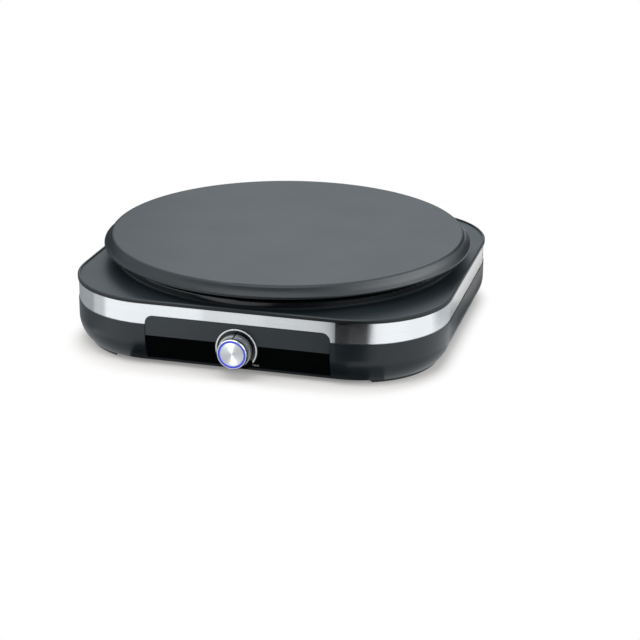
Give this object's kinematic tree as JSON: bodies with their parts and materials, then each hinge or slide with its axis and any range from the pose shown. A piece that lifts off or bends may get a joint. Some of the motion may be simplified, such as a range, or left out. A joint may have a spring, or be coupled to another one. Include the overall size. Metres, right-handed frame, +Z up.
{
  "type": "electric crepe maker",
  "caption": "Round cast cooking plate on a low rounded-square base with a brushed steel band and a front thermostat knob ringed in light.",
  "frame": {"origin": "on the table under the centre of the cooking plate, in the plane of the feet's undersides", "axes": "+Z up along the cooking plate's axis; the front with the thermostat knob faces -Y; +X to the right seen from the front"},
  "size_m": [0.3218, 0.3253, 0.0793],
  "materials": {
    "casing_plastic": "fine-grained moulded ABS, dark grey",
    "cover_plastic": "satin moulded heat-resistant plastic, dark grey",
    "steel_band": "stainless steel strip, brushed along its length",
    "panel_plastic": "polished black moulding",
    "dial_print": "silver arc on the dial",
    "plate_coating": "cast aluminium with dark grey non-stick coating",
    "pan_enamel": "pressed steel, black stove paint",
    "element_sheath": "heat-tinted tubular sheath",
    "ceramic": "white ceramic",
    "terminal_metal": "nickel-plated steel",
    "zinc_steel": "zinc-plated steel",
    "copper": "copper",
    "sleeve": "glass-fibre sleeve",
    "wire_brown": "brown silicone insulation",
    "wire_blue": "blue silicone insulation",
    "wire_green_yellow": "green and yellow silicone insulation",
    "thermostat_case": "black phenolic moulding",
    "board": "white circuit board",
    "lamp": "blue lamp",
    "block_nylon": "natural nylon",
    "brass": "brass screws",
    "rubber": "black rubber",
    "knob_aluminium": "turned aluminium, satin",
    "cap_aluminium": "spun aluminium disc",
    "light_ring": "translucent ring lit blue from behind",
    "chrome": "polished chrome"
  },
  "bodies": {
    "base": {"lower_casing": "casing_plastic", "top_cover": "cover_plastic", "steel_band": "steel_band", "front_panel": "panel_plastic", "dial_arc": "dial_print", "cooking_plate": "plate_coating", "drip_pan": "pan_enamel", "heating_element": "element_sheath", "element_beads": "ceramic", "element_terminals": "terminal_metal", "plate_spacers": "zinc_steel", "plate_screws": "zinc_steel", "plate_washers": "zinc_steel", "casing_screws": "zinc_steel", "rubber_feet": "rubber", "sensor_bulb": "copper", "sensor_strap": "zinc_steel", "capillary_tube": "copper", "thermal_fuse": "terminal_metal", "fuse_strap": "zinc_steel", "strap_screws": "zinc_steel", "thermostat_body": "thermostat_case", "thermostat_bracket": "zinc_steel", "thermostat_nut": "zinc_steel", "bracket_screws": "zinc_steel", "lamp_board": "board", "lamps": "lamp", "cord_bushing": "rubber", "cord_clamp": "block_nylon", "clamp_screws": "zinc_steel", "terminal_block": "block_nylon", "terminal_screws": "brass", "wire_live": "wire_brown", "wire_neutral": "wire_blue", "wire_switched": "sleeve", "wire_fused": "sleeve", "wire_earth": "wire_green_yellow", "earth_tag": "terminal_metal", "earth_screw": "zinc_steel", "thermostat_tabs": "terminal_metal"},
    "knob": {"knob_body": "knob_aluminium", "knob_cap": "cap_aluminium", "knob_light_ring": "light_ring", "knob_trim_ring": "chrome", "thermostat_shaft": "zinc_steel", "hub_clip": "zinc_steel"}
  },
  "joints": [
    {"name": "knob_turn", "type": "hinge", "parent": "base", "child": "knob", "pos_m": [0, -0.1535, 0.0231], "axis": [0, 1, 0], "range_deg": [-125, 125]}
  ]
}
